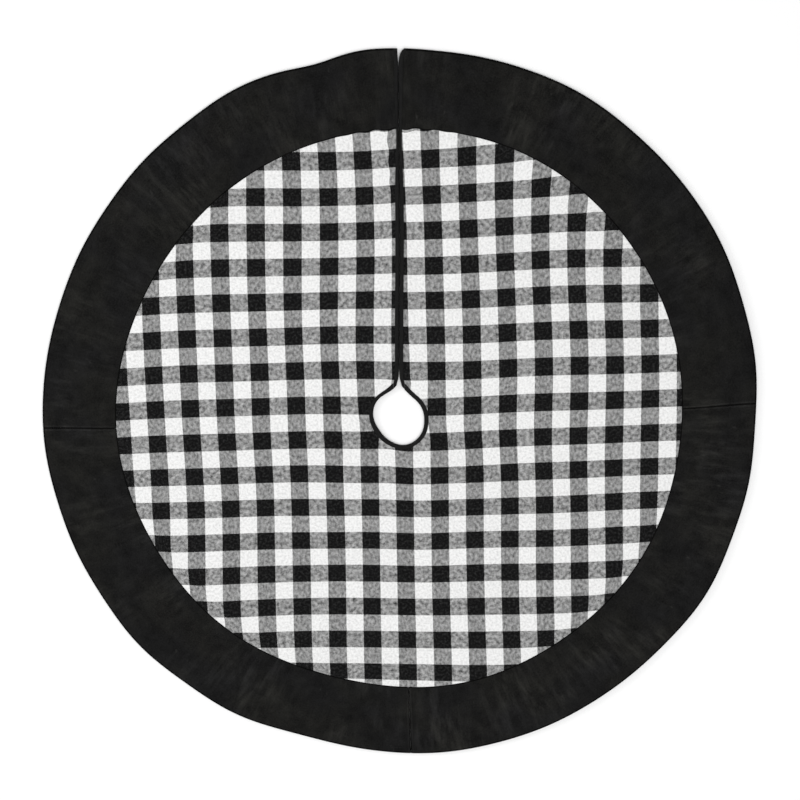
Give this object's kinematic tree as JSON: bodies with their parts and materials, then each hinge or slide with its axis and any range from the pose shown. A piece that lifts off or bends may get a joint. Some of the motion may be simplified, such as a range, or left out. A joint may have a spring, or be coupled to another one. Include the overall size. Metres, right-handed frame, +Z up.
{
  "type": "tree skirt",
  "caption": "Round lined tree skirt: checked cloth disc in a wide black border, slit to a bound trunk hole, both slit sides fold back.",
  "frame": {"origin": "on the floor under the centre of the round outline, which is also the centre of the trunk hole", "axes": "+Z up from the floor, +Y from the trunk hole out along the slit, +X to the right of the slit seen from above"},
  "size_m": [1.219, 1.2191, 0.0067],
  "materials": {
    "felt_backing": "matte grey felt",
    "wadding": "white bonded fibre",
    "checked_cloth": "woven black, grey and white check",
    "black_cloth": "matte black plain weave",
    "binding": "matte black bias strip",
    "hook_tape": "black hook tape",
    "loop_tape": "black brushed loop tape"
  },
  "bodies": {
    "skirt": {"backing_main": "felt_backing", "wadding_main": "wadding", "checked_top_main": "checked_cloth", "border_upper_left": "black_cloth", "border_lower_left": "black_cloth", "border_lower_right": "black_cloth", "border_upper_right": "black_cloth", "hole_binding_main": "binding"},
    "left_side": {"backing_left_side": "felt_backing", "wadding_left_side": "wadding", "checked_top_left_side": "checked_cloth", "border_left_side": "black_cloth", "hole_binding_left_side": "binding", "slit_binding_left": "binding"},
    "right_side": {"backing_right_side": "felt_backing", "wadding_right_side": "wadding", "checked_top_right_side": "checked_cloth", "border_right_side": "black_cloth", "hole_binding_right_side": "binding", "slit_binding_right": "binding", "loop_patch_1": "loop_tape", "loop_patch_2": "loop_tape", "loop_patch_3": "loop_tape"},
    "tab_1": {"hook_tab_1": "hook_tape"},
    "tab_2": {"hook_tab_2": "hook_tape"},
    "tab_3": {"hook_tab_3": "hook_tape"}
  },
  "joints": [
    {"name": "left_side_fold", "type": "hinge", "parent": "skirt", "child": "left_side", "pos_m": [0, 0, 0.01], "axis": [0.4695, -0.8829, 0], "range_deg": [0, 175]},
    {"name": "right_side_fold", "type": "hinge", "parent": "skirt", "child": "right_side", "pos_m": [0, 0, 0.01], "axis": [0.4695, 0.8829, 0], "range_deg": [0, 175]},
    {"name": "tab_1_swing", "type": "hinge", "parent": "left_side", "child": "tab_1", "pos_m": [-0.0089, 0.2, -0.00015], "axis": [0, -1, 0], "range_deg": [0, 180]},
    {"name": "tab_2_swing", "type": "hinge", "parent": "left_side", "child": "tab_2", "pos_m": [-0.0089, 0.3598, -0.00015], "axis": [0, -1, 0], "range_deg": [0, 180]},
    {"name": "tab_3_swing", "type": "hinge", "parent": "left_side", "child": "tab_3", "pos_m": [-0.0089, 0.5196, -0.00015], "axis": [0, -1, 0], "range_deg": [0, 180]}
  ]
}
